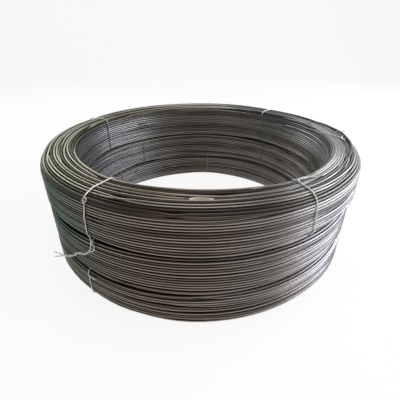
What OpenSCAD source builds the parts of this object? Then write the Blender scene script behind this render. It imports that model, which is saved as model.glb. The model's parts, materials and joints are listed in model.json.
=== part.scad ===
// Coil of steel wire rod: three tied bundles of turns, stacked on one bore.
// Millimetres, +Z up. The origin is on the coil's axis, in the plane that the coil stands on.

/* [Wire] */
// Diameter of the wire rod
wire_d = 5.5; // [5:0.5:10]
// Gap left between neighbouring turns
turn_gap = 0.15; // [0.1:0.05:1]
// Depth of the flat worn on a turn where it bears on the floor, the mandrel or the next bundle
crest_flat = 0.1; // [0.05:0.05:0.3]

/* [Coil] */
// Outer diameter over the turns
coil_od = 720; // [560:5:1000]
// Thickness of the wall of turns, from the bore to the outside
wall_t = 74; // [60:1:120]
// Height of the upper bundle
upper_h = 93.5; // [78:0.5:130]
// Height of the middle bundle
middle_h = 79.5; // [60:0.5:120]
// Height of the lower bundle
lower_h = 68; // [60:0.5:120]
// Radius of the rounded outer shoulder on top
shoulder_r = 28; // [20:1:36]
// Radius of the other outer corners, which leaves a notch at each seam
seam_r = 14; // [10:0.5:24]
// Radius of the corners at the bore
bore_corner_r = 10.5; // [8:0.5:16]

/* [Ties] */
// Diameter of the tie wire
tie_d = 2; // [1.5:0.25:3]
// Clearance between a tie and the turns that it beds in
tie_clearance = 0.3; // [0.1:0.05:0.3]
// Gap between a tie and the turns that it lies on, on the outer wall and on top
tie_lift = 0.4; // [0.4:0.1:0.8]
// How far a tie lies below the faces that bear on something
tie_sink = 0.6; // [0.5:0.1:1]
// Number of turns in a tie's twisted knot
knot_turns = 1.5; // [1:0.5:3]
// Length of one turn of the twist
knot_lead = 7; // [7:0.5:12]
// Length of the cut ends past the twist
cut_end = 5; // [3:1:15]
// Number of turns in the twist of the tie with the long ends
long_knot_turns = 2; // [1:1:4]
// Length of one turn of that twist
long_lead = 18; // [14:1:26]
// Length of the long ends past that twist
long_end = 32; // [15:1:40]
// How far the long twist hangs below the seam
long_drop = 32; // [26:1:40]
// Radius of the curl in the tie with the long ends
curl_r = 4; // [3.5:0.5:6]

/* [Paper slip] */
// Length of the slip along its turn
slip_len = 40; // [20:1:60]
// Height of the slip above the turns
slip_rise = 6; // [3:0.5:10]
// Thickness of the slip
slip_t = 0.6; // [0.4:0.1:0.8]
// Number of the groove that the slip stands in, counted from the shoulder
slip_groove = 1; // [1:1:4]

/* [Hidden] */
// Directions that the ties lie in, in degrees from +X
upper_tie_angles = [-121, -56, 2, 48, 154];
middle_tie_angles = [-160, -10, 46, 129];
lower_tie_angles = [-126, 20, 84, 148];
// Direction of the paper slip
slip_angle = -88.5;
// Distances from the bore at which the upper ties are knotted on top; 0 is a knot on the outer wall
upper_knot_places = [0, 16, 30, 0, 38];
// Steps of a full circle on the turned faces, and of the outline of one turn
coil_steps = 180;
turn_steps = 48;
// Sides of the tie wire, steps of its bends and steps in one turn of its twist
tie_sides = 6;
bend_steps = 4;
twist_steps = 6;
// Steps of the long-ended tie on the shoulder, in one turn of its curl and round the seam
shoulder_steps = 6;
curl_steps = 10;
seam_steps = 5;
// Step of the shoulder at which that tie curls
curl_step = 2;

// A strand's way into the twist, in tie diameters from the middle of the knot: where it leaves the turns,
// where it bends aside and where the twist starts
strand_off = 1.3;
bend_aside = 0.9;
twist_start = 2.5;
// Distance of a knot on the outer wall below the shoulder, in tie diameters
knot_below = 1.5;
// Radius of a twist, which leaves the two strands a little apart, in tie diameters
twist_width = 0.62;
// Spread of the cut ends past a twist, as a share of its radius
end_spread = 0.8;
// Rise of the curl from its start to its end, and of the wire that crosses its start, in tie diameters
curl_rise = 1.15;
curl_over = 1.45;
// Direction of the long twist, as [outward, along the turns, up]
long_axis = [0.35, -0.93, -0.05];
// Two points of each long end past its twist, as [share of its length, spread in tie diameters]
long_end_points = [[[0.3, 1], [1, 2.5]], [[0.3, -1], [1, -0.5]]];
// How far the second strand has moved along the turns when it leaves the seam, in tie diameters
seam_shift = 2.2;
// Points of the two strands above the long twist, as [outward, along, up] in tie diameters from the wall
// and the height of the twist
first_strand = [[0.3, -2, 3.2], [0, -1.6, 6.3]];
second_strand = [[0, 1.7, 4], [0.3, 0, -0.1]];

bore_d = coil_od - 2 * wall_t;
bore_r = bore_d / 2;
outer_r = coil_od / 2;
turn_pitch = wire_d + turn_gap;
lower_z = 0;
middle_z = lower_z + lower_h;
upper_z = middle_z + middle_h;
top_z = upper_z + upper_h;
turn_inset = wire_d / 2 - crest_flat;
tie_r = tie_d / 2;
twist_r = twist_width * tie_d;
// Height of a tie's centre line over the turns that it lies on, and its radius on the outer wall
tie_height = tie_r + tie_lift;
hang_r = outer_r + tie_height;
wire_color = [0.30, 0.28, 0.25];
tie_color = [0.84, 0.84, 0.80];
slip_color = [0.86, 0.83, 0.70];

// Rounded sections
// A section is a box [r0, z0, r1, z1] and the radii of its corners, anticlockwise from the outer bottom one.

function corner_radii(top_r) = [seam_r, top_r, bore_corner_r, bore_corner_r];
function inset_box(box, d) = [box[0] + d, box[1] + d, box[2] - d, box[3] - d];
function corner_centre(box, radii, i) =
    let (r = radii[i])
    [i < 2 ? box[2] - r : box[0] + r, i == 1 || i == 2 ? box[3] - r : box[1] + r];
function corner_point(box, radii, i, turn) =
    corner_centre(box, radii, i) + radii[i] * [cos(90 * (i - 1 + turn)), sin(90 * (i - 1 + turn))];
function corner_bend(box, radii, i, steps) =
    [for (k = [0 : steps]) corner_point(box, radii, i, k / steps)];
// Steps of a straight run and of a quarter circle, in which turns have room side by side
function steps_for(length) = max(1, floor(length / turn_pitch));
function corner_steps(r) = max(1, floor(45 / asin(min(1, turn_pitch / (2 * r)))));
// Points between two ends, without the ends, at least one turn apart
function run_between(a, b) =
    let (steps = steps_for(norm(b - a)))
    [for (k = [1 : 1 : steps - 1]) a + (b - a) * k / steps];
function joined(lists) = [for (list = lists) each list];

// Bundles

// Centres of the turns that show, once round the section
function turn_centres(box, radii) =
    joined([for (i = [0 : 3]) concat(
        corner_bend(box, radii, i, corner_steps(radii[i])),
        run_between(corner_point(box, radii, i, 1), corner_point(box, radii, (i + 1) % 4, 0)))]);

module turn_section(box, radii) {
    centres = turn_centres(inset_box(box, turn_inset), [for (r = radii) r - turn_inset]);
    intersection() {
        union() {
            polygon(centres);
            for (centre = centres) translate(centre) circle(d = wire_d, $fn = turn_steps);
        }
        translate([box[0], box[1]]) square([box[2] - box[0], box[3] - box[1]]);
    }
}

// Slot that a tie beds in, through the faces of a bundle that its centre line runs below
module tie_slot(box, radii, angle) {
    seat = tie_r + tie_clearance;
    seat_radii = [for (r = radii) r - seat];
    seat_box = inset_box(box, seat);
    rotate([90, 0, angle])
        linear_extrude(2 * seat, center = true)
            difference() {
                translate([box[0] - wire_d, box[1] - wire_d])
                    square([box[2] - box[0] + 2 * wire_d, box[3] - box[1] + 2 * wire_d]);
                polygon(joined([for (i = [0 : 3]) corner_bend(seat_box, seat_radii, i, bend_steps)]));
            }
}

function bundle_box(z, h) = [bore_r, z, outer_r, z + h];
// The centre line of a tie: bedded at the bore and the seams, on the turns outside and on top of the coil
function tie_box(z, h) =
    let (sunk = tie_sink + tie_r)
    [bore_r + sunk, z + sunk, hang_r, z + h + (z == upper_z ? tie_height : -sunk)];

module bundle(z, h, top_r, tie_angles) {
    radii = corner_radii(top_r);
    color(wire_color)
        difference() {
            rotate_extrude($fn = coil_steps) turn_section(bundle_box(z, h), radii);
            for (angle = tie_angles) tie_slot(tie_box(z, h), radii, angle);
        }
}

module upper_bundle() bundle(upper_z, upper_h, shoulder_r, upper_tie_angles);
module middle_bundle() bundle(middle_z, middle_h, seam_r, middle_tie_angles);
module lower_bundle() bundle(lower_z, lower_h, seam_r, lower_tie_angles);

// Swept wire
// Points are [outward, along the turns, up], in the frame of one tie.

function unit(v) = v / norm(v);
function tangent(path, i) =
    let (a = path[max(i - 1, 0)], b = path[min(i + 1, len(path) - 1)]) unit(b - a);
function square_to(v, t) = unit(v - (v * t) * t);
// Ring directions carried along the path without twist
function carried(path, start) =
    [for (i = 0, n = square_to(start, tangent(path, 0));
          i < len(path);
          i = i + 1, n = i < len(path) ? square_to(n, tangent(path, i)) : n) n];

module swept_wire(path, d) {
    sides = tie_sides;
    normals = carried(path, [0.3, 0.2, 1]);
    points = [for (i = [0 : len(path) - 1], j = [0 : sides - 1])
        let (n = normals[i], b = cross(tangent(path, i), n), a = 360 * j / sides)
        path[i] + d / 2 * (cos(a) * n + sin(a) * b)];
    rings = len(path);
    walls = [for (i = [0 : rings - 2], j = [0 : sides - 1])
        let (k = (j + 1) % sides, a = i * sides, b = a + sides)
        each [[a + j, b + j, b + k], [a + j, b + k, a + k]]];
    first_end = [for (j = [0 : sides - 1]) j];
    last_end = [for (j = [sides - 1 : -1 : 0]) (rings - 1) * sides + j];
    polyhedron(points, concat([first_end, last_end], walls));
}

// Ties

function lifted(point) = [point[0], 0, point[1]];
function reversed(list) = [for (i = [len(list) - 1 : -1 : 0]) list[i]];
// One strand of a twist along an axis, from a side direction that turns towards the other one
function strand(start, axis, side, other, turns, lead) =
    [for (k = [0 : round(turns * twist_steps)])
        let (a = 360 * k / twist_steps)
        start + axis * lead * k / twist_steps + twist_r * (cos(a) * side + sin(a) * other)];
// The loop of a tie from a knot at point p of side first - 1, round the corners and back to p
function loop_bends(box, radii, first) =
    joined([for (k = [0 : 3]) [for (p = corner_bend(box, radii, (first + k) % 4, bend_steps)) lifted(p)]]);

// A tie's centre line, with its knot on the outer wall or on top, lying along the turns
function knotted_path(box, radii, knot_point, first) =
    let (along = [0, 1, 0],
         on_wall = first == 1,
         out = on_wall ? [1, 0, 0] : [0, 0, 1],
         onward = on_wall ? [0, 0, 1] : [-1, 0, 0],
         p = lifted(knot_point),
         start = p + out * twist_r + along * twist_start * tie_d,
         half = [for (sign = [1, -1])
             let (twist = strand(start, along, sign * onward, sign * out, knot_turns, knot_lead),
                  last = twist[len(twist) - 1],
                  off_axis = last - start - along * knot_lead * knot_turns)
             concat(
                 [p + sign * onward * strand_off * tie_d,
                  p + (sign * onward + along) * bend_aside * tie_d + out * twist_r],
                 twist,
                 [last + along * cut_end + off_axis * end_spread])])
    concat(reversed(half[0]), loop_bends(box, radii, first), half[1]);

// Curl of the wire in the plane of the shoulder, where the tie is bent back on itself
function curl(point, onward, out) =
    [for (k = [0 : curl_steps - 1])
        let (a = 360 * k / curl_steps)
        point + curl_r * ([0, 1, 0] * (1 - cos(a)) + onward * sin(a))
            + out * curl_rise * tie_d * k / (curl_steps - 1)];

// Points of a strand that hangs in front of the wall, from the height of the long twist
function hung(points, drop) = [for (p = points) [hang_r, 0, drop] + tie_d * p];

// The tie whose two strands leave the seam, hang in front of the bundle below and end in a long twist
function long_ended_path(box, radii) =
    let (shoulder = [for (p = corner_bend(box, radii, 1, shoulder_steps)) lifted(p)],
         curl_angle = 90 * curl_step / shoulder_steps,
         curl_on = [-sin(curl_angle), 0, cos(curl_angle)],
         curl_out = [cos(curl_angle), 0, sin(curl_angle)],
         seam = box[1],
         drop = seam - long_drop,
         axis = unit(long_axis),
         start = [hang_r + twist_r + tie_clearance, -twist_start * tie_d, drop],
         over = unit(cross(axis, [1, 0, 0])),
         outward = cross(over, axis),
         twists = [for (sign = [1, -1])
             strand(start, axis, sign * over, sign * outward, long_knot_turns, long_lead)],
         ends = [for (i = [0, 1])
             let (last = twists[i][len(twists[i]) - 1])
             [for (p = long_end_points[i]) last + axis * long_end * p[0] + over * tie_d * p[1]]],
         // The second strand clears the slot before it turns aside, then rounds the top of the bundle below
         seam_r_out = seam_r + tie_r + tie_sink,
         notch = [outer_r - seam_r, seam - seam_r_out],
         notch_bend = [for (k = [0 : seam_steps])
             let (a = 90 * (1 - k / seam_steps), r = seam_r_out + tie_clearance * k / 2)
             [notch[0] + r * cos(a), seam_shift * tie_d * pow(k / seam_steps, 2), notch[1] + r * sin(a)]])
    concat(
        reversed(ends[0]), reversed(twists[0]),
        hung(first_strand, drop),
        [for (i = [0 : curl_step - 1]) shoulder[i]],
        curl(shoulder[curl_step], curl_on, curl_out),
        [shoulder[curl_step + 1] + curl_out * curl_over * tie_d],
        [for (i = [curl_step + 2 : len(shoulder) - 1]) shoulder[i]],
        [for (i = [2, 3]) each [for (p = corner_bend(box, radii, i, bend_steps)) lifted(p)]],
        notch_bend,
        hung(second_strand, drop),
        twists[1], ends[1]);

module knotted_tie(z, h, top_r, angle, place) {
    box = tie_box(z, h);
    knot_point = place > 0 ? [bore_r + place, box[3]] : [box[2], box[3] - top_r - knot_below * tie_d];
    color(tie_color)
        rotate([0, 0, angle])
            swept_wire(knotted_path(box, corner_radii(top_r), knot_point, place > 0 ? 2 : 1), tie_d);
}

module long_ended_tie(angle) {
    color(tie_color)
        rotate([0, 0, angle])
            swept_wire(long_ended_path(tie_box(upper_z, upper_h), corner_radii(shoulder_r)), tie_d);
}

// Paper slip

// A sliver of bare paper that stands in a groove between two turns on top of the coil
module paper_slip() {
    top_run = wall_t - shoulder_r - bore_corner_r;
    top_pitch = top_run / steps_for(top_run);
    groove_r = outer_r - shoulder_r - top_pitch * (slip_groove - 0.5);
    // Depth in the groove at which the slip meets the turns on both sides
    gap = top_pitch / 2 - slip_t / 2 - tie_clearance / 2;
    foot = turn_inset - sqrt(max(0, pow(wire_d / 2, 2) - gap * gap));
    arch_r = (pow(slip_len / 2, 2) + slip_rise * slip_rise) / (2 * slip_rise);
    color(slip_color)
        rotate([0, 0, slip_angle])
            intersection() {
                translate([0, 0, top_z - foot])
                    difference() {
                        cylinder(r = groove_r + slip_t / 2, h = foot + 2 * slip_rise, $fn = coil_steps);
                        translate([0, 0, -foot])
                            cylinder(r = groove_r - slip_t / 2, h = 3 * (foot + slip_rise), $fn = coil_steps);
                    }
                translate([0, 0, top_z + slip_rise - arch_r])
                    rotate([0, 90, 0])
                        cylinder(r = arch_r, h = coil_od, $fn = coil_steps);
            }
}

upper_bundle();
middle_bundle();
lower_bundle();
paper_slip();
long_ended_tie(upper_tie_angles[0]);  // upper_tie_1
for (i = [1 : len(upper_tie_angles) - 1])
    knotted_tie(upper_z, upper_h, shoulder_r, upper_tie_angles[i], upper_knot_places[i]);
for (i = [0 : len(middle_tie_angles) - 1])
    knotted_tie(middle_z, middle_h, seam_r, middle_tie_angles[i], 0);
for (i = [0 : len(lower_tie_angles) - 1])
    knotted_tie(lower_z, lower_h, seam_r, lower_tie_angles[i], 0);
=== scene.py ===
"""Coil of steel wire rod: three tied bundles of turns on one bore, bound with thin tie wires.

Metres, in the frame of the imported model: +Z up along the bore's axis, the front towards -Y.
"""
import json
import math

import bpy
import numpy as np
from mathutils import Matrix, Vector


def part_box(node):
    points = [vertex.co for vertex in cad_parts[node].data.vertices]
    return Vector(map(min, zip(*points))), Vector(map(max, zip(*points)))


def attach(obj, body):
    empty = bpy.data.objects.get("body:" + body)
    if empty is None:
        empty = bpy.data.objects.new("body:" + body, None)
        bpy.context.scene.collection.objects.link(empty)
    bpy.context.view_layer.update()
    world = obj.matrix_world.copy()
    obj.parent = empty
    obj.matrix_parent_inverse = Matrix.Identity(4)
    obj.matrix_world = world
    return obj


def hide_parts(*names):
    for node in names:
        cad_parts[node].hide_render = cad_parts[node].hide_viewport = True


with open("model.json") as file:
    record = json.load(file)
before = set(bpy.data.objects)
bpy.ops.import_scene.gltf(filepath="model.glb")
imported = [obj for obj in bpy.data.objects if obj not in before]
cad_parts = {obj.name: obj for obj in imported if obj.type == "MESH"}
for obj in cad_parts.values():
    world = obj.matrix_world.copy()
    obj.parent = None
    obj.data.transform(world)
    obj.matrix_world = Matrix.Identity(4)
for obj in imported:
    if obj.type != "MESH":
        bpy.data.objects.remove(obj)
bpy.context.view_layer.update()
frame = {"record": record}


# Sizes of the coil

WIRE_R = 0.00275
TURN_PITCH = 0.00565
SEAM_R = 0.014
SHOULDER_R = 0.028
BORE_CORNER_R = 0.0075
BORE_R = next(m for m in frame["record"]["mounts"] if m["name"] == "bore")["dims"]["r_mm"] / 1000
OUTER_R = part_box("lower_bundle")[1].x
# The rim of the upper bundle lies wider on the right than the bore below it, and its wall bulges there
RIM_SHIFT = 0.020
BULGE = 0.007
SLACK_SIDE = math.radians(-19)
# How much rounder the lower outer corners of the bundles are on that side
SAG = {"upper": 0.016, "middle": 0.010, "lower": 0.0}
# In front, and on towards the left, the turns nearly close the seams: corner radius, direction and reach
CLOSED_SEAM_R = 0.006
CLOSED_SIDE = math.radians(-98)
CLOSED_REACH = math.radians(56)

# Radius of the tie wire, how deep it lies below the turns in the bore and the seams, and where each bundle
# has its ties, in degrees
TIE_R = 0.001
TIE_SINK = 0.0006
TIE_ANGLES = {
    "upper": [-121, -57.6, 2, 48, 154],
    "middle": [-160, -10, 46, 129],
    "lower": [-126, 20, 84, 148],
}


def level(bundle):
    """Lowest and highest level of a bundle."""
    low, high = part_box(bundle + "_bundle")
    return low.z, high.z


TOP_Z = level("upper")[1]
# A length that counts as none
TINY = 1e-6


# Meshes

def tube(name, runs, attributes=None):
    """One mesh of tubes with flat cut ends; each run is an array of rings, shaped (rings, sides, 3)."""
    sides = runs[0].shape[1]
    walls, caps, first = [], [], 0
    for rings in runs:
        index = first + np.arange(len(rings) * sides).reshape(-1, sides)
        ahead = np.roll(index, -1, axis=1)
        walls.append(np.stack([index[:-1], ahead[:-1], ahead[1:], index[1:]], axis=-1).reshape(-1, 4))
        caps += [index[0][::-1], index[-1]]
        first += index.size
    walls, caps = np.concatenate(walls), np.array(caps)
    loops = np.concatenate([walls.ravel(), caps.ravel()])
    starts = np.concatenate([4 * np.arange(len(walls)), walls.size + sides * np.arange(len(caps))])
    mesh = bpy.data.meshes.new(name)
    mesh.vertices.add(first)
    mesh.vertices.foreach_set("co", np.concatenate(runs).astype(np.float32).ravel())
    mesh.loops.add(len(loops))
    mesh.loops.foreach_set("vertex_index", loops.astype(np.int32))
    mesh.polygons.add(len(starts))
    mesh.polygons.foreach_set("loop_start", starts.astype(np.int32))
    mesh.update(calc_edges=True)
    mesh.polygons.foreach_set("use_smooth", np.arange(len(starts)) < len(walls))
    for label, values in (attributes or {}).items():
        kind, field = ("FLOAT_VECTOR", "vector") if values.shape[-1] == 3 else ("FLOAT", "value")
        layer = mesh.attributes.new(label, kind, "POINT")
        layer.data.foreach_set(field, values.astype(np.float32).ravel())
    mesh.validate()
    piece = bpy.data.objects.new(name, mesh)
    bpy.context.scene.collection.objects.link(piece)
    return piece


def finish_piece(piece, material, slot, *nodes):
    """Gives a piece its finish and lets it stand for its nodes of the frame; the slot is not used."""
    piece.data.materials.append(material)
    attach(piece, "root")
    if nodes:
        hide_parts(*nodes)


# Wound turns

# Stations at which the turns are settled; the turns that show get twice as many
STATIONS = 48
SHOWN_SIDES = 8
CORE_SIDES = 5
SHOWN_DEPTH = 1.25 * TURN_PITCH
FIRST_STATION = math.radians(185)
STATION_ANGLES = FIRST_STATION + 2 * math.pi * np.arange(STATIONS) / STATIONS
# How far the ties draw the turns in at the bore and the seams, outside, and how far along that reaches
DRAWN_IN = TIE_SINK + 2 * TIE_R
DRAWN_OUTSIDE = 0.0014
DRAWN_REACH = 0.085
# Steps by which the depth of a turn below the edge of its section is felt out
DEPTH_STEP = TURN_PITCH / 4
DEPTH_STEPS = 12
# A place that the edge of the section moves further than this, at every station, holds no turn
MOST_MOVED = 0.35 * TURN_PITCH


def slack(angle):
    """Share of the upper bundle's slack in a direction, 1 on its slack side."""
    return np.clip(np.cos(angle - SLACK_SIDE), 0, None) ** 2


def seam_radius(angle):
    """Radius of the outer corners at the seams in a direction."""
    off = np.clip((angle - CLOSED_SIDE + math.pi) % (2 * math.pi) - math.pi, -CLOSED_REACH, CLOSED_REACH)
    closed = np.cos(math.pi / 2 * off / CLOSED_REACH) ** 2
    return SEAM_R - (SEAM_R - CLOSED_SEAM_R) * closed


def lower_corner(bundle, angle):
    """Radius of the lower outer corner in a direction."""
    return seam_radius(angle) + SAG[bundle] * slack(angle)


def tie_pull(bundle):
    """Share of the ties' pull at each station, 1 at a tie."""
    pull = np.zeros(STATIONS)
    for angle in np.radians(TIE_ANGLES[bundle]):
        off = (STATION_ANGLES - angle + math.pi) % (2 * math.pi) - math.pi
        pull = np.maximum(pull, np.exp(-(off * OUTER_R / DRAWN_REACH) ** 2))
    return pull


class Section:
    """Room for the centres of the turns in a bundle's section, at every station."""

    def __init__(self, bundle):
        low, high = level(bundle)
        top = bundle == "upper"
        pull = tie_pull(bundle)
        loose = slack(STATION_ANGLES) if top else np.zeros(STATIONS)
        self.low = low + WIRE_R + DRAWN_IN * pull
        self.high = high - WIRE_R - (DRAWN_OUTSIDE if top else DRAWN_IN) * pull
        self.outer = OUTER_R - WIRE_R - DRAWN_OUTSIDE * pull + BULGE * loose
        self.inner = BORE_R + WIRE_R + DRAWN_IN * pull
        self.rim_shift = RIM_SHIFT * loose
        self.corners = [(1, -1, lower_corner(bundle, STATION_ANGLES)),
                        (1, 1, SHOULDER_R if top else seam_radius(STATION_ANGLES)),
                        (-1, 1, BORE_CORNER_R), (-1, -1, BORE_CORNER_R)]

    def inner_at(self, z):
        """Inner limit, which leans outwards towards the widened rim."""
        share = np.clip((z - self.low) / (self.high - self.low), 0, 1)
        return self.inner + self.rim_shift * share ** 2

    def confine(self, points):
        """Moves points that lie outside the section back to its edge, in place."""
        r, z = points[..., 0], points[..., 1]
        np.clip(z, self.low, self.high, out=z)
        inner = self.inner_at(z)
        np.clip(r, inner, self.outer, out=r)
        for side_r, side_z, corner in self.corners:
            radius = corner - WIRE_R
            centre_r = self.outer - radius if side_r > 0 else inner + radius
            centre_z = self.high - radius if side_z > 0 else self.low + radius
            over_r = (r - centre_r) * side_r
            over_z = (z - centre_z) * side_z
            reach = np.hypot(over_r, over_z)
            out = (over_r > 0) & (over_z > 0) & (reach > radius)
            keep = np.where(out, radius / np.maximum(reach, TINY), 1)
            r[out] = (centre_r + side_r * over_r * keep)[out]
            z[out] = (centre_z + side_z * over_z * keep)[out]

    def depth(self, points):
        """How deep points lie below the edge of the section."""
        edge = points.copy()
        reach = np.zeros(points.shape[:-1])
        middle = np.array([(BORE_R + OUTER_R) / 2, (self.low + self.high).mean() / 2])
        outward = DEPTH_STEP * (points - middle) / np.linalg.norm(points - middle, axis=-1)[..., None]
        for _ in range(DEPTH_STEPS):
            pushed = edge + outward
            held = pushed.copy()
            self.confine(held)
            free = np.abs(held - pushed).sum(axis=-1) < TINY
            reach += np.where(free, DEPTH_STEP, 0)
            edge = np.where(free[..., None], pushed, edge)
        return reach


def homes(section):
    """Places of the turns in the section: upright layers from the bore outwards, wound up and down."""
    inner, outer = section.inner.min(), section.outer.min()
    low, high = section.low.min(), section.high.max()
    layers = round((outer - inner) / TURN_PITCH)
    rows = round((high - low) / TURN_PITCH)
    places = []
    for layer in range(layers + 1):
        r = inner + (outer - inner) * layer / layers
        stagger = layer % 2
        column = [(r, low + (high - low) * (row + stagger / 2) / rows) for row in range(rows + 1 - stagger)]
        places += column[::-1] if stagger else column
    places = np.array(places)
    held = np.repeat(places[:, None, :], STATIONS, axis=1)
    section.confine(held)
    moved = np.abs(held - places[:, None, :]).sum(axis=2).min(axis=1)
    return places[moved < MOST_MOVED]


# Number of waves in a wander, and how much their rates and sizes vary
WAVES = 7
RATE_SPREAD = (0.85, 1.15)
SIZE_SPREAD = (0.6, 1.4)


def waves(rng, along, size, slowest, fastest):
    """Smooth wander along a wire; the rates are waves for each unit of along."""
    total = np.zeros_like(along)
    for rate in np.geomspace(slowest, fastest, WAVES) * rng.uniform(*RATE_SPREAD, WAVES):
        height = rng.uniform(*SIZE_SPREAD)
        total += height * np.sin(2 * math.pi * (rate * along + rng.uniform())) / (1 + rate)
    return size * total


# How far the turns wander, and the slowest and fastest rates of that across and up, for each turn
WANDER = 0.0017
WANDER_ACROSS = (0.21, 2.7)
WANDER_UP = (0.19, 2.9)
# Share of turns that stray across their neighbours, how far they do, and the limits of where that starts
# and how long it goes on, in shares of a turn
STRAY_SHARE = 0.16
STRAY = 0.006
STRAY_START = (0, 0.5)
STRAY_LENGTH = (0.25, 0.5)
# The topmost turns lie looser than the rest: how much more they wander, and how deep that reaches
TOP_LOOSENESS = 1.6
LOOSE_DEPTH = 0.030
# Turns whose places are this near may meet; they push each other until they lie this far apart, by this
# share of what is missing in each step
MEETING_REACH = 4 * TURN_PITCH
CLEAR_APART = 2.02 * WIRE_R
PUSH = 0.28
# Steps in which the turns settle. In the first share of them they are pressed outwards, by this share of
# their way from the middle of the section, and straightened more than in the last ones
SETTLE_STEPS = 150
SETTLING_SHARE = 0.8
PRESS = 0.0012
STRAIGHTEN = 0.3
STRAIGHTEN_LAST = 0.08


def lay_turns(section, places, rng):
    """Centres of the turns at every station as (radius, level), settled so that they lie side by side."""
    turns = len(places)
    looseness = 1 + TOP_LOOSENESS * np.clip((places[:, 1] - TOP_Z) / LOOSE_DEPTH + 1, 0, 1)
    onward = np.vstack([places[1:], places[-1:]])
    share = np.arange(STATIONS) / STATIONS
    along = np.arange(turns)[:, None] + share[None, :]
    points = places[:, None, :] + (onward - places)[:, None, :] * share[None, :, None]
    points[..., 0] += looseness[:, None] * waves(rng, along, WANDER, *WANDER_ACROSS)
    points[..., 1] += looseness[:, None] * waves(rng, along, WANDER, *WANDER_UP)
    # Some turns stray across their neighbours for part of the way round
    for turn in np.flatnonzero(rng.uniform(size=turns) < STRAY_SHARE):
        start, length = rng.uniform(*STRAY_START), rng.uniform(*STRAY_LENGTH)
        bump = np.sin(math.pi * np.clip((share - start) / length, 0, 1)) ** 2
        points[turn] += looseness[turn] * bump[:, None] * rng.normal(0, STRAY, 2)
    near = np.hypot(*np.moveaxis(places[:, None] - places[None], -1, 0)) < MEETING_REACH
    first, second = np.nonzero(np.triu(near, 1))
    meets = np.zeros((turns, len(first)), np.float32)
    meets[first, np.arange(len(first))] = 1
    meets[second, np.arange(len(first))] = -1
    middle = places.mean(axis=0)
    for step in range(SETTLE_STEPS):
        settling = step < SETTLING_SHARE * SETTLE_STEPS
        gap = points[first] - points[second]
        distance = np.maximum(np.hypot(gap[..., 0], gap[..., 1]), TINY)
        push = np.clip(CLEAR_APART - distance, 0, None) / distance * PUSH
        shove = (gap * push[..., None]).reshape(len(first), -1).astype(np.float32)
        points += (meets @ shove).reshape(points.shape)
        if settling:
            points += PRESS * (points - middle)
        section.confine(points)
        chain = points.reshape(-1, 2)
        between = 0.5 * (chain[:-2] + chain[2:])
        chain[1:-1] += (STRAIGHTEN if settling else STRAIGHTEN_LAST) * (between - chain[1:-1])
    section.confine(points)
    return points


def finer(line):
    """A smooth line with a point more between each two, placed by the four points around it."""
    padded = np.vstack([2 * line[:1] - line[1:2], line, 2 * line[-1:] - line[-2:-1]])
    between = (9 * (padded[1:-2] + padded[2:-1]) - padded[:-3] - padded[3:]) / 16
    longer = np.empty((2 * len(line) - 1, line.shape[1]))
    longer[::2], longer[1::2] = line, between
    return longer


# Tone of the wire, from dull to bright: its mean, how much it wanders and at what rates for each turn, how
# much it differs from that of the next turn and how often that comes and goes in a turn
TONE_MEAN = 0.5
TONE_WANDER = 0.3
TONE_RATES = (0.15, 1.4)
NEXT_TURN = 0.28
NEXT_TURN_RATE = 0.46
# What is added to the seed of a winding for that of its tone
TONE_SEED = 100


def wire_runs(name, chain, stations, chosen, sides, tone_seed, material, *nodes):
    """The chosen turns of a wound wire as one piece, with a run for each row of turns that follow on."""
    edges = np.flatnonzero(np.diff(np.concatenate([[0], chosen.astype(int), [0]])))
    round_wire = -2 * math.pi * np.arange(sides) / sides
    across, up = WIRE_R * np.cos(round_wire), WIRE_R * np.sin(round_wire)
    runs, skins, tones = [], [], []
    for first, last in edges.reshape(-1, 2):
        at = np.arange(first * stations, min(last * stations + 1, len(chain)))
        angles = (FIRST_STATION + 2 * math.pi * at / stations)[:, None]
        r = chain[at, :1] + across
        runs.append(np.stack([r * np.cos(angles), r * np.sin(angles), chain[at, 1:] + up], axis=-1))
        way = 2 * math.pi * OUTER_R * at[:, None] / stations
        skins.append(np.stack(np.broadcast_arrays(way, across, up), axis=-1))
        tone = waves(np.random.default_rng(tone_seed), at / stations, TONE_WANDER, *TONE_RATES)
        tone += NEXT_TURN * np.sin(2 * math.pi * NEXT_TURN_RATE * at / stations)
        tones.append(np.broadcast_to(TONE_MEAN + tone[:, None], r.shape))
    attributes = {"skin": np.concatenate(skins), "tone": np.clip(np.concatenate(tones), 0, 1)}
    finish_piece(tube(name, runs, attributes), material, "wire_rod", *nodes)


def wind_bundle(bundle, seed, material):
    """The wire of a bundle: the turns that show in full, and the turns of its core more plainly."""
    section = Section(bundle)
    places = homes(section)
    chain = lay_turns(section, places, np.random.default_rng(seed)).reshape(-1, 2)
    deep = section.depth(np.repeat(places[:, None, :], STATIONS, axis=1)).min(axis=1) > SHOWN_DEPTH
    wire_runs(bundle + "_turns", finer(chain), 2 * STATIONS, ~deep, SHOWN_SIDES, seed + TONE_SEED, material,
              bundle + "_bundle")
    wire_runs(bundle + "_core_turns", chain, STATIONS, deep, CORE_SIDES, seed + TONE_SEED, material)


# A loose turn that crosses the others on top: direction in degrees, radius, height over the coil's top
CROSSING_TURN = [(30, 0.352, -0.012), (16, 0.351, -0.004), (0, 0.349, 0.0010), (-13, 0.3465, 0.0020),
                 (-25, 0.341, 0.0022), (-38, 0.336, 0.0018), (-52, 0.334, 0.0004), (-66, 0.333, -0.005),
                 (-80, 0.332, -0.012)]
CROSSING_STEP = 0.006
CROSSING_EASE = 0.018
CROSSING_TONE = 0.85


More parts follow.
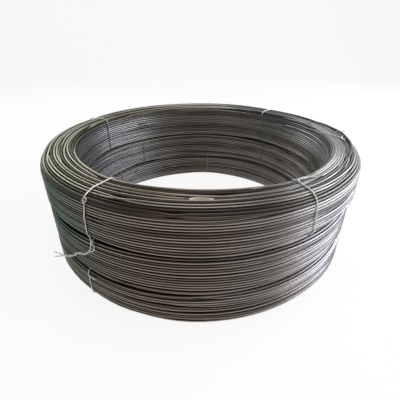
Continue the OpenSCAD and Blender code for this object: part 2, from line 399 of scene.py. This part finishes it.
def crossing_turn(material):
    """The loose turn on top, at the right."""
    direction, radius, height = np.array(CROSSING_TURN).T
    angles = np.radians(direction)
    path = np.stack([radius * np.cos(angles), radius * np.sin(angles), TOP_Z + height], axis=-1)
    rings = sweep(smoothed(path, CROSSING_STEP, CROSSING_EASE), WIRE_R, SHOWN_SIDES)
    way = np.broadcast_to(CROSSING_STEP * np.arange(len(rings))[:, None], rings.shape[:2])
    attributes = {"skin": np.stack([way, 0 * way, 0 * way], axis=-1),
                  "tone": np.full(rings.shape[:2], CROSSING_TONE)}
    finish_piece(tube("upper_crossing_turn", [rings], attributes), material, "wire_rod")


# Tie wires

BEND_STEPS = 8
TIE_SIDES = 8
TIE_STEP = 0.0012
# How far a tie's kinks are eased, how far it strays from its line, and the rates of that for each metre
TIE_EASE = 0.0007
TIE_WANDER = 0.00035
TIE_WANDER_RATES = (8, 60)
# The twist of a knot: radius of its strands' centres, length of one turn, number of turns, and the cut end
TWIST_R = 0.55 * 2 * TIE_R
KNOT_LEAD = 0.007
KNOT_TURNS = 1.5
KNOT_STEPS = 24
CUT_END = 0.005
# A point on a strand's way to the twist, in shares of where it leaves the tie's line and of where they meet
WAY_IN = (0.7, 0.45)
# How far below the shoulder a knot on the outer wall lies
KNOT_DROP = 3 * TIE_R
OUT, ALONG, UP = np.eye(3)
# A direction that no wire starts in
ODD_WAY = (0.31, 0.17, 0.93)
# Knots that lie on top: distance from the bore, way along the turns, where the strands leave the tie's line
# to both sides and how far along they meet, and the points of the first end past the twist, as (outward,
# along, up)
NEAR_LEAVE, NEAR_MEET = 2.6 * TIE_R, 4 * TIE_R
TOP_KNOTS = {
    2: (0.013, 1, (NEAR_LEAVE, NEAR_LEAVE), NEAR_MEET,
        [(0.001, 0.010, 0), (0.009, 0.024, 0), (0.012, 0.034, 0.001), (0.008, 0.052, 0)]),
    3: (0.028, -1, (0.021, 0.030), 0.046, [(-0.002, 0.008, 0.001), (-0.004, 0.014, 0)]),
    5: (0.038, 1, (NEAR_LEAVE, NEAR_LEAVE), NEAR_MEET, [(0, CUT_END, 0)]),
}

# How far ties of the upper bundle were pulled along the turns at the shoulder
SWAY = {2: -0.006}


def tie_box(bundle, angle):
    """Centre line of a tie round its bundle: inner radius, low, outer radius, high."""
    low, high = level(bundle)
    on_turns, sunk = TIE_R - DRAWN_OUTSIDE, TIE_SINK + TIE_R
    if bundle == "upper":
        return BORE_R + sunk, low + sunk, OUTER_R + on_turns + BULGE * slack(angle), high + on_turns
    return BORE_R + sunk, low + sunk, OUTER_R + on_turns, high - sunk


def corner_radii(bundle, angle):
    """Corner radii of a bundle's section, anticlockwise from the outer bottom one."""
    shoulder = SHOULDER_R if bundle == "upper" else float(seam_radius(angle))
    return float(lower_corner(bundle, angle)), shoulder, BORE_CORNER_R, BORE_CORNER_R


def corner_bend(box, radii, corner, rim=0.0, steps=BEND_STEPS):
    """Points round one corner of a tie's loop, anticlockwise; corner 0 is the outer bottom one."""
    inner, low, outer, high = box
    radius = radii[corner]
    centre_r = outer - radius if corner < 2 else inner + radius + (rim if corner == 2 else 0)
    centre_z = high - radius if corner in (1, 2) else low + radius
    angles = math.pi / 2 * (corner - 1 + np.linspace(0, 1, steps + 1))
    return np.stack([centre_r + radius * np.cos(angles), np.zeros(steps + 1),
                     centre_z + radius * np.sin(angles)], axis=-1)


def unit(vector):
    """The direction of a vector."""
    return vector / np.linalg.norm(vector)


def smoothed(path, step, blur):
    """A path with even steps and its kinks eased, as bent wire has."""
    run = np.append(0, np.cumsum(np.linalg.norm(np.diff(path, axis=0), axis=1)))
    at = np.linspace(0, run[-1], max(2, round(run[-1] / step)))
    even = np.stack([np.interp(at, run, path[:, axis]) for axis in range(3)], axis=-1)
    reach = min(max(1, round(3 * blur / step)), len(even) - 1)
    weights = np.exp(-0.5 * (np.arange(-reach, reach + 1) * step / blur) ** 2)
    weights /= weights.sum()
    before = 2 * even[0] - even[reach:0:-1]
    after = 2 * even[-1] - even[-2:-reach - 2:-1]
    padded = np.vstack([before, even, after])
    return np.stack([np.convolve(padded[:, axis], weights, "valid") for axis in range(3)], axis=-1)


def sweep(path, radius, sides):
    """Rings of a round wire along a path, carried without twist."""
    ahead = np.gradient(path, axis=0)
    ahead /= np.linalg.norm(ahead, axis=1)[:, None]
    normal = unit(np.cross(ahead[0], ODD_WAY))
    turn = 2 * math.pi * np.arange(sides) / sides
    rings = []
    for point, tangent in zip(path, ahead):
        normal = unit(normal - normal.dot(tangent) * tangent)
        across = np.cross(tangent, normal)
        rings.append(point + radius * (np.outer(np.cos(turn), normal) + np.outer(np.sin(turn), across)))
    return np.array(rings)


def twisted(axis, side, turns):
    """The two strands of a twist along a line, the first of which starts on a given side."""
    ahead = np.gradient(axis, axis=0)
    strands = ([], [])
    for point, tangent, turn in zip(axis, ahead, np.linspace(0, 2 * math.pi * turns, len(axis))):
        tangent = unit(tangent)
        over = unit(side - side.dot(tangent) * tangent)
        offset = TWIST_R * (math.cos(turn) * over + math.sin(turn) * np.cross(tangent, over))
        for strand, sign in zip(strands, (1, -1)):
            strand.append(point + sign * offset)
    return [np.array(strand) for strand in strands]


def knotted_path(box, radii, rim, knot=None, sway=0.0):
    """Centre line of a tie with its knot on top or high on the outer wall, and a sway at the shoulder."""
    if knot:
        place, side, leave, meet, end = knot
        foot = np.array([BORE_R + rim + place, 0, box[3]])
        first, out, onward = 2, UP, -OUT
    else:
        side, leave, meet, end = 1, (NEAR_LEAVE, NEAR_LEAVE), NEAR_MEET, [(0, CUT_END, 0)]
        foot = np.array([box[2], 0, box[3] - radii[1] - KNOT_DROP])
        first, out, onward = 1, OUT, UP
    along = side * ALONG
    start = foot + out * TWIST_R + along * meet
    axis = start + np.outer(np.linspace(0, KNOT_LEAD * KNOT_TURNS, KNOT_STEPS), along)
    ends = [end, [(0, CUT_END, 0)]]
    halves = []
    for sign, gap, strand, points in zip((1, -1), leave, twisted(axis, onward, KNOT_TURNS), ends):
        way_in = [foot + sign * onward * gap,
                  foot + sign * onward * WAY_IN[0] * gap + along * WAY_IN[1] * meet + out * TWIST_R]
        tail = strand[-1] + np.array(points) * (1, side, 1)
        halves.append(np.vstack([way_in, strand, tail]))
    loop = [corner_bend(box, radii, (first + k) % 4, rim) for k in range(4)]
    loop[(1 - first) % 4][:, 1] += sway
    return np.vstack([halves[0][::-1], *loop, halves[1]])


def place_tie(name, node, path, angle, rng, material):
    """Turns a tie's path to its direction, roughs it by hand and makes its wire."""
    path = smoothed(path, TIE_STEP, TIE_EASE)
    along = np.arange(len(path)) * TIE_STEP
    for axis in range(3):
        path[:, axis] += waves(rng, along, TIE_WANDER, *TIE_WANDER_RATES)
    x, y, z = path.T
    c, s = math.cos(angle), math.sin(angle)
    turned = np.stack([x * c - y * s, x * s + y * c, z], axis=-1)
    finish_piece(tube(name, [sweep(turned, TIE_R, TIE_SIDES)]), material, "tie_wire", node)


def tie_bundle(bundle, rng, material):
    """The ties of a bundle."""
    for number, degrees in enumerate(TIE_ANGLES[bundle], 1):
        angle = math.radians(degrees)
        box, radii = tie_box(bundle, angle), corner_radii(bundle, angle)
        upper = bundle == "upper"
        rim = RIM_SHIFT * float(slack(angle)) if upper else 0.0
        if upper and number == 1:
            path = long_ended_path(box, radii)
        else:
            knot, sway = (TOP_KNOTS.get(number), SWAY.get(number, 0)) if upper else (None, 0)
            path = knotted_path(box, radii, rim, knot, sway)
        place_tie(f"{bundle}_tie_wire_{number}", f"{bundle}_tie_{number}", path, angle, rng, material)


# The tie with the long ends. Its points are (outward from the wall, along the turns, up from the seam); its
# curl has a radius, a shift along the turns in shares of that, a place on the shoulder, a turn and a rise.
CURL_R = 0.0038
CURL_STEPS = 18
CURL_SHIFT = 0.2
CURL_ANGLE = math.radians(30)
CURL_TURN = math.radians(324)
CURL_RISE = 2.4 * TIE_R
# How far over the shoulder the wire crosses the start of its curl, in radii of the wire
CURL_CROSSES = 2.9
SHOULDER_STEPS = 12
LONG_TURNS = 2.5
LONG_EASE = 0.003
# The second strand on its way through the seam: how far it comes to stand off and goes along the turns
NOTCH_STEPS = 8
NOTCH_STANDS = 0.0008
NOTCH_ALONG = 0.008
FIRST_STRAND = [(0.0003, -0.005, -0.021), (0, -0.004, -0.012), (0, 0, -0.002), (0, -0.001, 0.004),
                (0, -0.007, 0.012), (0, -0.005, 0.046)]
SECOND_STRAND = [(0.0004, 0.0035, -0.020), (0.0012, -0.003, -0.0262)]
LONG_AXIS = [(0.0015, -0.0065, -0.0245), (0.0064, -0.018, -0.0345), (0.011, -0.030, -0.0315),
             (0.014, -0.0385, -0.0405), (0.0195, -0.0535, -0.0435)]
LONG_ENDS = [[(0.0235, -0.064, -0.0405), (0.0275, -0.075, -0.0375)],
             [(0.0235, -0.065, -0.0462), (0.0275, -0.076, -0.0490)]]


def long_ended_path(box, radii):
    """The tie with a curl on the shoulder, whose strands leave the seam and end in a long twist."""
    seam = np.array([box[2], 0, box[1]])
    shoulder = corner_bend(box, radii, 1, steps=SHOULDER_STEPS)
    split = round(CURL_ANGLE / (math.pi / 2) * SHOULDER_STEPS)
    curl_on = np.array([-math.sin(CURL_ANGLE), 0, math.cos(CURL_ANGLE)])
    curl_out = np.array([math.cos(CURL_ANGLE), 0, math.sin(CURL_ANGLE)])
    turn = np.linspace(0, CURL_TURN, CURL_STEPS)
    rise = CURL_RISE * np.linspace(0, 1, CURL_STEPS)
    circle = np.outer(CURL_SHIFT - np.cos(turn), ALONG) + np.outer(np.sin(turn), curl_on)
    curl = shoulder[split] + CURL_R * circle + np.outer(rise, curl_out)
    strands = twisted(smoothed(seam + np.array(LONG_AXIS), TIE_STEP, LONG_EASE), UP, LONG_TURNS)
    notch_r = radii[0] + TIE_R + TIE_SINK
    notch = np.array([OUTER_R - radii[0], 0, box[1] - notch_r])
    ease = np.linspace(0, 1, NOTCH_STEPS)
    lean = math.pi / 2 * (1 - ease)
    reach = notch_r + NOTCH_STANDS * ease
    notch_bend = (notch + np.outer(reach * np.cos(lean), OUT) + np.outer(reach * np.sin(lean), UP)
                  + np.outer(NOTCH_ALONG * ease ** 2, ALONG))
    # The curl takes the place of a few points of the shoulder, and the wire goes on over its start
    crossing = shoulder[split + 2] + curl_out * CURL_CROSSES * TIE_R
    return np.vstack([
        seam + np.array(LONG_ENDS[0][::-1]), strands[0][::-1], seam + np.array(FIRST_STRAND),
        shoulder[:split - 1], curl, crossing, shoulder[split + 4:],
        corner_bend(box, radii, 2), corner_bend(box, radii, 3), notch_bend,
        seam + np.array(SECOND_STRAND), strands[1], seam + np.array(LONG_ENDS[1])])


# Paper slip

# Direction, share of its node's height that it stands to in the middle, height at its ends, and how far its
# upper edge leans inwards and curls to and fro along it
SLIP_ANGLE = math.radians(-89.3)
SLIP_STANDS = 0.52
SLIP_END = 0.001
SLIP_LEAN = 0.002
SLIP_CURL = 0.0012
SLIP_CURL_RATE = 2.3
SLIP_CURL_START = 0.6
SLIP_LENGTH = 0.038
SLIP_T = 0.0006
SLIP_STEPS = 28
SLIP_ROWS = 8


def paper_slip(material):
    """A curled sliver of paper that stands in a groove between two turns on top."""
    low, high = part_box("paper_slip")
    groove = -(low.y + high.y) / 2
    share = np.linspace(-1, 1, SLIP_STEPS)
    angles = SLIP_ANGLE + share * SLIP_LENGTH / 2 / groove
    height = low.z + SLIP_END + (SLIP_STANDS * (high.z - low.z) - SLIP_END) * (1 - share ** 2)
    levels = np.linspace(0, 1, SLIP_ROWS)
    rings = []
    for angle, top, at in zip(angles, height, share):
        z = low.z + (top - low.z) * levels
        curl = SLIP_CURL * levels ** 2 * math.sin(SLIP_CURL_RATE * at + SLIP_CURL_START)
        lean = curl - SLIP_LEAN * levels
        faces = []
        for half in (SLIP_T / 2, -SLIP_T / 2):
            r = groove + lean + half
            faces.append(np.stack([r * np.cos(angle), r * np.sin(angle), z], axis=-1))
        rings.append(np.vstack([faces[0], faces[1][::-1]]))
    finish_piece(tube("paper_slip_sheet", [np.array(rings)]), material, "paper", "paper_slip")


# Finishes

class Shade:
    """Wraps a socket of a material, so that arithmetic on it adds Math nodes."""

    def __init__(self, socket):
        self.socket = socket
        self.tree = socket.id_data

    @staticmethod
    def pick(sockets, key):
        """A socket by its place, or by its identifier or name."""
        if isinstance(key, int):
            return sockets[key]
        return next(s for s in sockets if key in (s.identifier, s.name))

    @classmethod
    def node(cls, tree, kind, settings=None, inputs=None, output=0):
        """Adds a node, sets it up, fills its sockets with values or links, and wraps one output."""
        made = tree.nodes.new("ShaderNode" + kind)
        for name, value in (settings or {}).items():
            setattr(made, name, value)
        cls.fill(made, inputs or {})
        return cls(cls.pick(made.outputs, output))

    @classmethod
    def fill(cls, node, inputs):
        """Sets or links a node's inputs."""
        for key, value in inputs.items():
            socket = cls.pick(node.inputs, key)
            if isinstance(value, Shade):
                node.id_data.links.new(value.socket, socket)
            else:
                socket.default_value = value

    def math(self, operation, *values):
        """One Math node on these values."""
        return Shade.node(self.tree, "Math", {"operation": operation}, dict(enumerate(values)))

    def __add__(self, other):
        return self.math("ADD", self, other)

    def __radd__(self, other):
        return self.math("ADD", other, self)

    def __sub__(self, other):
        return self.math("SUBTRACT", self, other)

    def __rsub__(self, other):
        return self.math("SUBTRACT", other, self)

    def __mul__(self, other):
        return self.math("MULTIPLY", self, other)

    def __rmul__(self, other):
        return self.math("MULTIPLY", other, self)

    def __pow__(self, other):
        return self.math("POWER", self, other)

    def between(self, low, high):
        """0 up to low and 1 from high, with a soft step."""
        return Shade.node(self.tree, "MapRange", {"interpolation_type": "SMOOTHSTEP"},
                          {"Value": self, "From Min": low, "From Max": high})

    def mix(self, first, second):
        """Blends two colours by this share."""
        colours = {key: (*value, 1) if isinstance(value, tuple) else value
                   for key, value in (("A_Color", first), ("B_Color", second))}
        return Shade.node(self.tree, "Mix", {"data_type": "RGBA"}, {"Factor_Float": self, **colours},
                          "Result_Color")

    def stretched(self, along, across):
        """A vector scaled along its first axis and across the other two."""
        return Shade.node(self.tree, "VectorMath", {"operation": "MULTIPLY"},
                          {0: self, 1: (along, across, across)})

    def noise(self, scale, detail=3.0, roughness=0.55):
        """Soft noise read at this vector."""
        return Shade.node(self.tree, "TexNoise", None,
                          {"Vector": self, "Scale": scale, "Detail": detail, "Roughness": roughness}, "Fac")

    def bump(self, strength, distance):
        """The normal of a surface that stands out by this height."""
        return Shade.node(self.tree, "Bump", None,
                          {"Height": self, "Strength": strength, "Distance": distance})

    def parts(self, axes):
        """The parts of this vector along some axes."""
        return [Shade.node(self.tree, "SeparateXYZ", None, {0: self}, axis) for axis in axes]


def new_finish(name, **constants):
    """A material with its shader, and constants on the shader's own sockets."""
    material = bpy.data.materials.new(name)
    material.use_nodes = True
    shader = material.node_tree.nodes["Principled BSDF"]
    Shade.fill(shader, {key.replace("_", " "): value for key, value in constants.items()})
    return material, material.node_tree, shader


def object_place(tree):
    """Place on the object, in metres."""
    return Shade.node(tree, "TexCoord", output="Object")


def from_axis(place):
    """Distance from the bore's axis."""
    x, y = place.parts("XY")
    return (x * x + y * y) ** 0.5


# Colours of the steel: the outer wall, the top and the bore by place, brown in front, with painted
# reflection at the left and in the bore at the left, painted sheen at the right and on top behind, and
# painted shade at the back right, on the back edge and in the bore; then bright where it is worn, dark
# where the mill skin is dull or stained, and painted shade in the grooves between the turns
WALL_FRONT, WALL_FRONT_PALE = (0.270, 0.199, 0.141), (0.310, 0.254, 0.196)
# Painted greenish reflection on the wall at the left and far left
WALL_LEFT_REFLECTION, WALL_FAR_LEFT_REFLECTION = (0.256, 0.268, 0.230), (0.130, 0.280, 0.205)
# Painted sheen on the wall at the right and far right
WALL_RIGHT_SHEEN, WALL_FAR_RIGHT_SHEEN = (0.375, 0.378, 0.414), (0.820, 0.820, 0.900)
# Painted shade on the wall at the back right
WALL_BEHIND_RIGHT_SHADE = (0.105, 0.140, 0.112)
# The top at the left has a painted greenish reflection
TOP_FRONT, TOP_LEFT_REFLECTION = (0.156, 0.121, 0.088), (0.300, 0.312, 0.218)
# Painted sheen on the top behind and at the right
TOP_BEHIND_SHEEN, TOP_RIGHT_SHEEN = (0.620, 0.618, 0.540), (0.380, 0.396, 0.392)
# Painted shade on the back edge of the top
TOP_BACK_EDGE_SHADE = (0.070, 0.098, 0.076)
# Painted shade in the bore, with a painted reflection at its left
BORE_MIDDLE_SHADE, BORE_LEFT_REFLECTION, BORE_RIGHT_SHADE = (0.176, 0.157, 0.128), (0.520, 0.530, 0.585), (0.245, 0.230, 0.204)
# Colours of wear, with a painted reflection far left and a painted sheen at the right
WORN, WORN_FAR_LEFT_REFLECTION, WORN_RIGHT_SHEEN = (0.460, 0.415, 0.350), (0.330, 0.430, 0.355), (0.470, 0.475, 0.515)
# The last is painted shade in the grooves between the turns
DULL_SKIN, STAINED, GROOVE_SHADE = (0.030, 0.024, 0.019), (0.050, 0.038, 0.029), (0.018, 0.014, 0.011)


def drawn_steel():
    """Oiled drawn wire with a dark mill skin: brown in front, with a painted greenish reflection far left,
    a painted silvery sheen at the right, and painted shade in the bore and in the grooves between the
    turns.
    """
    material, tree, shader = new_finish("drawn_steel", Metallic=0.9, Specular_Tint=(0.62, 0.64, 0.60, 1))
    place = object_place(tree)
    skin = Shade.node(tree, "Attribute", {"attribute_name": "skin"}, output="Vector")
    tone = Shade.node(tree, "Attribute", {"attribute_name": "tone"}, output="Fac")
    x, y, z = place.parts("XYZ")
    upward, = skin.parts("Z")
    cloud = place.noise(4.5, 2.0)
    patch = skin.stretched(9.0, 260.0).noise(1.0, 4.0, 0.6)
    lines = skin.stretched(14.0, 1500.0).noise(1.0, 2.0, 0.5)
    # Where on the coil, in metres
    to_right = (x + 0.12 * cloud).between(0.02, 0.38)
    to_left = (x * -1 + 0.12 * cloud).between(0.08, 0.38)
    # Where the top gets a painted sheen behind
    behind = y.between(0.10, 0.34)
    # Painted greenish reflection at the far left, mostly high on the wall
    green_reflection = (x * -1 + 0.12 * cloud).between(0.22, 0.40) * (1 - y.between(-0.05, 0.22))
    green_reflection = green_reflection * (0.25 + 0.75 * z.between(0.04, 0.17))
    # Painted shade at the back right of the wall
    behind_right_shade = (x + y).between(0.38, 0.50)
    # Painted sheen at the far right
    far_right_sheen = x.between(0.29, 0.36)
    axis_r = from_axis(place)
    on_top = z.between(TOP_Z - 0.024, TOP_Z - 0.006)
    # The bore, which gets painted shade, and a painted reflection at its left
    in_bore = (1 - axis_r.between(BORE_R + WIRE_R, BORE_R + 4 * WIRE_R)) * (1 - on_top)
    # Painted shade on the back edge of the top
    back_edge_shade = (x + y).between(0.36, 0.44) * axis_r.between(0.302, 0.322)
    # Colour by place: brown in front, painted reflection at the left, painted sheen at the right and on top
    # behind, painted shade at the back right, on the back edge and in the bore
    wall = cloud.between(0.35, 0.65).mix(WALL_FRONT, WALL_FRONT_PALE)
    wall = to_left.mix(wall, WALL_LEFT_REFLECTION)
    wall = green_reflection.mix(wall, WALL_FAR_LEFT_REFLECTION)
    wall = to_right.mix(wall, WALL_RIGHT_SHEEN)
    wall = far_right_sheen.mix(wall, WALL_FAR_RIGHT_SHEEN)
    wall = behind_right_shade.mix(wall, WALL_BEHIND_RIGHT_SHADE)
    top = to_left.mix(TOP_FRONT, TOP_LEFT_REFLECTION)
    top = behind.mix(top, TOP_BEHIND_SHEEN)
    top = to_right.mix(top, TOP_RIGHT_SHEEN)
    top = back_edge_shade.mix(top, TOP_BACK_EDGE_SHADE)
    bore = to_left.mix(BORE_MIDDLE_SHADE, BORE_LEFT_REFLECTION)
    bore = to_right.mix(bore, BORE_RIGHT_SHADE)
    base = in_bore.mix(on_top.mix(wall, top), bore)
    # Wear, with the painted reflection at the far left and the painted sheen at the right in its colour,
    # and less of it in the bore as painted shade; stains; and painted shade in the grooves between the
    # turns
    bright = green_reflection.mix(WORN, WORN_FAR_LEFT_REFLECTION)
    bright = to_right.mix(bright, WORN_RIGHT_SHEEN)
    worn = (tone * 0.7 + patch * 0.6).between(0.45, 0.95)
    # Wear shows less in the bore: painted shade
    base = (worn * (0.45 - 0.25 * in_bore)).mix(base, bright)
    dull = (1 - tone.between(0.25, 0.60)) * (1 - 0.6 * far_right_sheen)
    highest = z.between(TOP_Z - 0.012, TOP_Z - 0.004)
    base = (dull * (0.2 + 0.65 * highest)).mix(base, DULL_SKIN)
    stain = (1 - patch + 0.25 * (1 - tone)).between(0.55, 0.9)
    base = (stain * 0.55).mix(base, STAINED)
    # Painted shade in the grooves: on the walls all but a band low on each turn, on top all but the crest,
    # less at the right
    unshaded_band = upward.between(-0.95 * WIRE_R, -0.55 * WIRE_R) * (1 - upward.between(0, 0.7 * WIRE_R))
    wall_groove_shade = 1 - unshaded_band
    top_groove_shade = 1 - upward.between(0.3 * WIRE_R, 0.98 * WIRE_R)
    groove_shade = on_top * top_groove_shade + (1 - on_top) * wall_groove_shade * (1 - 0.8 * to_right)
    base = (groove_shade * 0.85).mix(base, GROOVE_SHADE)
    Shade.fill(shader, {"Base Color": base, "Normal": (lines + patch).bump(0.25, 0.0002),
                        "Roughness": 0.23 + 0.16 * lines + 0.12 * stain})
    return material


# The last is painted shade inside the bore
ZINC, ZINC_BLOOM, ZINC_GRIME, ZINC_BORE_SHADE = (
    (0.70, 0.70, 0.67), (0.86, 0.86, 0.83), (0.34, 0.31, 0.27), (0.10, 0.095, 0.085))


def galvanised():
    """Bright soft tie wire with a pale zinc bloom, grimed in places, with painted shade inside the bore."""
    material, tree, shader = new_finish("galvanised_tie", Metallic=0.55)
    place = object_place(tree)
    bloom = place.noise(180.0, 3.0)
    grime = place.noise(45.0, 3.0).between(0.52, 0.75)
    base = bloom.between(0.3, 0.7).mix(ZINC, ZINC_BLOOM)
    base = (grime * 0.45).mix(base, ZINC_GRIME)
    z, = place.parts("Z")
    # Painted shade inside the bore, below the top
    in_bore = 1 - from_axis(place).between(BORE_R + 2 * TIE_R, BORE_R + 6 * TIE_R)
    in_bore = in_bore * (1 - z.between(TOP_Z - 0.018, TOP_Z - 0.008))
    base = (in_bore * 0.8).mix(base, ZINC_BORE_SHADE)
    Shade.fill(shader, {"Base Color": base, "Normal": bloom.bump(0.3, 0.0001),
                        "Roughness": 0.34 + 0.2 * bloom})
    return material


PAPER, PAPER_PALE, PAPER_TAN = (0.84, 0.80, 0.66), (0.92, 0.89, 0.78), (0.66, 0.60, 0.46)


def bare_paper():
    """Creamy uncoated paper with its fibres, tan in the middle of the slip."""
    material, tree, shader = new_finish("bare_paper", Roughness=0.9)
    place = object_place(tree)
    fibres = place.stretched(600.0, 1500.0).noise(1.0, 4.0, 0.7)
    x, = place.parts("X")
    from_middle = (x * x) ** 0.5
    base = fibres.between(0.3, 0.7).mix(PAPER, PAPER_PALE)
    base = (0.7 - 0.7 * from_middle.between(0.004, 0.012)).mix(base, PAPER_TAN)
    Shade.fill(shader, {"Base Color": base, "Normal": fibres.bump(0.4, 0.0001)})
    return material


# Stage

FLOOR_WHITE = (0.95, 0.95, 0.95, 1)
# Share of plain white in the floor as it is seen; the rest keeps the coil's shadow
FLOOR_GLOW = 0.88
ROOM_GREY = (0.24, 0.24, 0.24, 1)


def white_sweep():
    """A white floor that curves up into a backdrop and keeps the coil's shadow."""
    half, front, back, bend, top, steps = 4.0, -3.0, 2.5, 1.0, 4.0, 12
    turn = np.linspace(0, math.pi / 2, steps + 1)
    profile = np.vstack([[front, 0], np.stack([back + bend * np.sin(turn), bend * (1 - np.cos(turn))], -1),
                         [back + bend, top]])
    points = [(x, y, z) for y, z in profile for x in (-half, half)]
    faces = [(i, i + 1, i + 3, i + 2) for i in range(0, len(points) - 2, 2)]
    mesh = bpy.data.meshes.new("white_sweep")
    mesh.from_pydata(points, [], faces)
    mesh.polygons.foreach_set("use_smooth", np.ones(len(faces), bool))
    floor = bpy.data.objects.new("white_sweep", mesh)
    bpy.context.scene.collection.objects.link(floor)
    material, tree, shader = new_finish("white_paper_sweep", Base_Color=FLOOR_WHITE, Roughness=0.9)
    ray = {name: Shade.node(tree, "LightPath", output=name)
           for name in ("Is Camera Ray", "Is Glossy Ray", "Is Transmission Ray")}
    seen = ray["Is Camera Ray"] + ray["Is Glossy Ray"] + ray["Is Transmission Ray"]
    glow = Shade.node(tree, "Emission", None, {"Color": (1, 1, 1, 1), "Strength": 1.0})
    plain = Shade(shader.outputs[0])
    both = Shade.node(tree, "MixShader", None, {0: seen * FLOOR_GLOW, 1: plain, 2: glow})
    Shade.fill(tree.nodes["Material Output"], {"Surface": both})
    mesh.materials.append(material)


def soft_light(name, place, aim, size, watts, colour=(1, 1, 1)):
    """A rectangular soft light that faces a point."""
    lamp = bpy.data.lights.new(name, "AREA")
    lamp.shape = "RECTANGLE"
    lamp.size, lamp.size_y = size
    lamp.energy = watts
    lamp.color = colour
    light = bpy.data.objects.new(name, lamp)
    light.location = place
    light.rotation_euler = (Vector(place) - Vector(aim)).to_track_quat("Z", "Y").to_euler()
    bpy.context.scene.collection.objects.link(light)


def studio():
    """Plain soft light: a broad window at the right, a small one behind at the left, and a ceiling."""
    world = bpy.data.worlds.new("dim_room")
    world.use_nodes = True
    Shade.fill(world.node_tree.nodes["Background"], {"Color": ROOM_GREY, "Strength": 1.0})
    bpy.context.scene.world = world
    middle = (0, 0, 0.15)
    soft_light("right_window", (2.0, 0.15, 0.95), middle, (3.0, 1.3), 62, (0.97, 0.97, 1.0))
    soft_light("left_window", (-1.3, 1.6, 1.5), middle, (1.2, 1.2), 13, (0.99, 1.0, 0.96))
    soft_light("ceiling", (0.0, -0.2, 2.2), middle, (1.4, 1.2), 16)


# Size, focal length and middle column of the photograph in pixels; place and tilt of its camera
PHOTO_SIZE = 400
FOCAL_PIXELS = 305.0
CENTRE_PIXEL = 199.0
CAMERA_PLACE = (0, -0.729, 0.468)
CAMERA_DOWN = 0.5177


def photo_camera():
    """The camera of the photograph, fitted to the rims of the coil."""
    data = bpy.data.cameras.new("photo_camera")
    data.sensor_width = 36
    data.lens = data.sensor_width * FOCAL_PIXELS / PHOTO_SIZE
    data.shift_x = (PHOTO_SIZE / 2 - CENTRE_PIXEL) / PHOTO_SIZE
    data.clip_start = 0.01
    camera = bpy.data.objects.new("photo_camera", data)
    camera.location = CAMERA_PLACE
    camera.rotation_euler = (math.pi / 2 - CAMERA_DOWN, 0, 0)
    bpy.context.scene.collection.objects.link(camera)
    bpy.context.scene.camera = camera


# Seeds of the windings, and of the hand that bent the ties
WINDING_SEEDS = {"upper": 11, "middle": 23, "lower": 37}
HAND_SEED = 5

photo_camera()
studio()
white_sweep()
steel = drawn_steel()
for bundle, seed in WINDING_SEEDS.items():
    wind_bundle(bundle, seed, steel)
crossing_turn(steel)
zinc = galvanised()
hand = np.random.default_rng(HAND_SEED)
for bundle in TIE_ANGLES:
    tie_bundle(bundle, hand, zinc)
paper_slip(bare_paper())

bpy.context.scene.view_settings.view_transform = "Standard"
